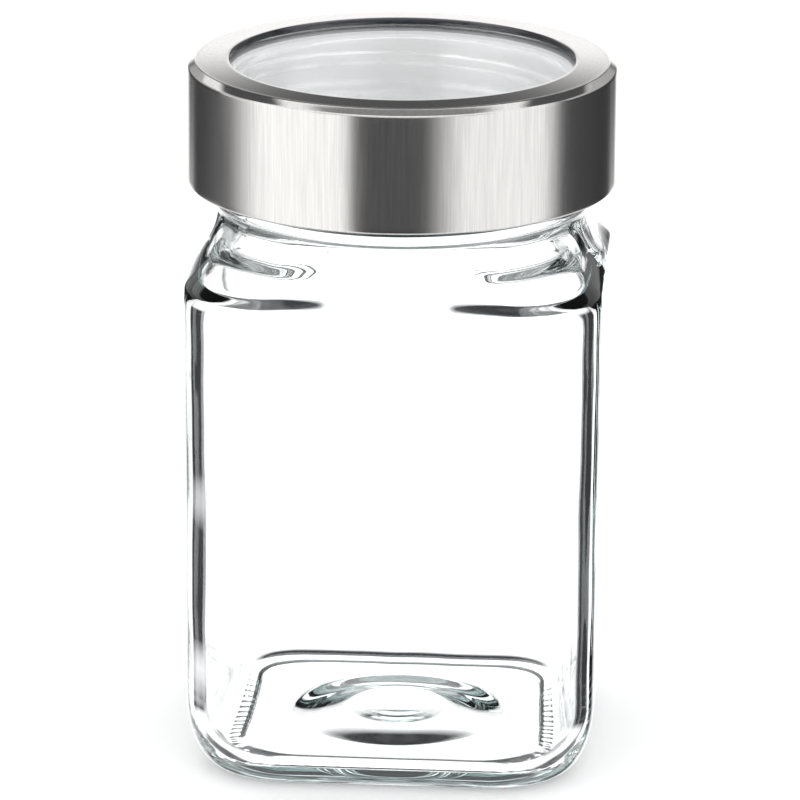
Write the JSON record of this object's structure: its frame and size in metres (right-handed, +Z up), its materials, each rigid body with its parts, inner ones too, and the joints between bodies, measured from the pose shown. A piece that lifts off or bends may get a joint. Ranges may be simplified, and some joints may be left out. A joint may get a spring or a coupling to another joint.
{
  "type": "square glass storage jar with screw lid",
  "caption": "Square clear glass spice and storage jar with rounded corners, a round threaded neck and a brushed steel screw lid with a clear window.",
  "frame": {"origin": "centre of the flat foot that the jar stands on", "axes": "+Z up along the screw axis, +X and +Y square to two neighbouring sides of the jar"},
  "size_m": [0.072, 0.072, 0.119],
  "materials": {
    "clear_glass": "polished soda-lime glass with a faint green tint",
    "brushed_steel": "brushed round the axis",
    "clear_plastic": "clear, gloss",
    "silicone": "translucent white, satin"
  },
  "bodies": {
    "jar": {"jar_glass": "clear_glass"},
    "seal": {"lid_gasket": "silicone"},
    "lid": {"lid_cover": "brushed_steel", "lid_insert": "clear_plastic"}
  },
  "joints": [
    {"name": "lid_rise", "type": "slide", "parent": "jar", "child": "seal", "axis": [0, 0, 1], "range_m": [0, 0.026]},
    {"name": "lid_turn", "type": "hinge", "parent": "seal", "child": "lid", "pos_m": [0, 0, 0.108], "axis": [0, 0, 1], "range_deg": [0, 1800]}
  ],
  "couplings": [
    {"joint": "lid_rise", "follows": "lid_turn", "m_per_rad": 0.00082761}
  ]
}
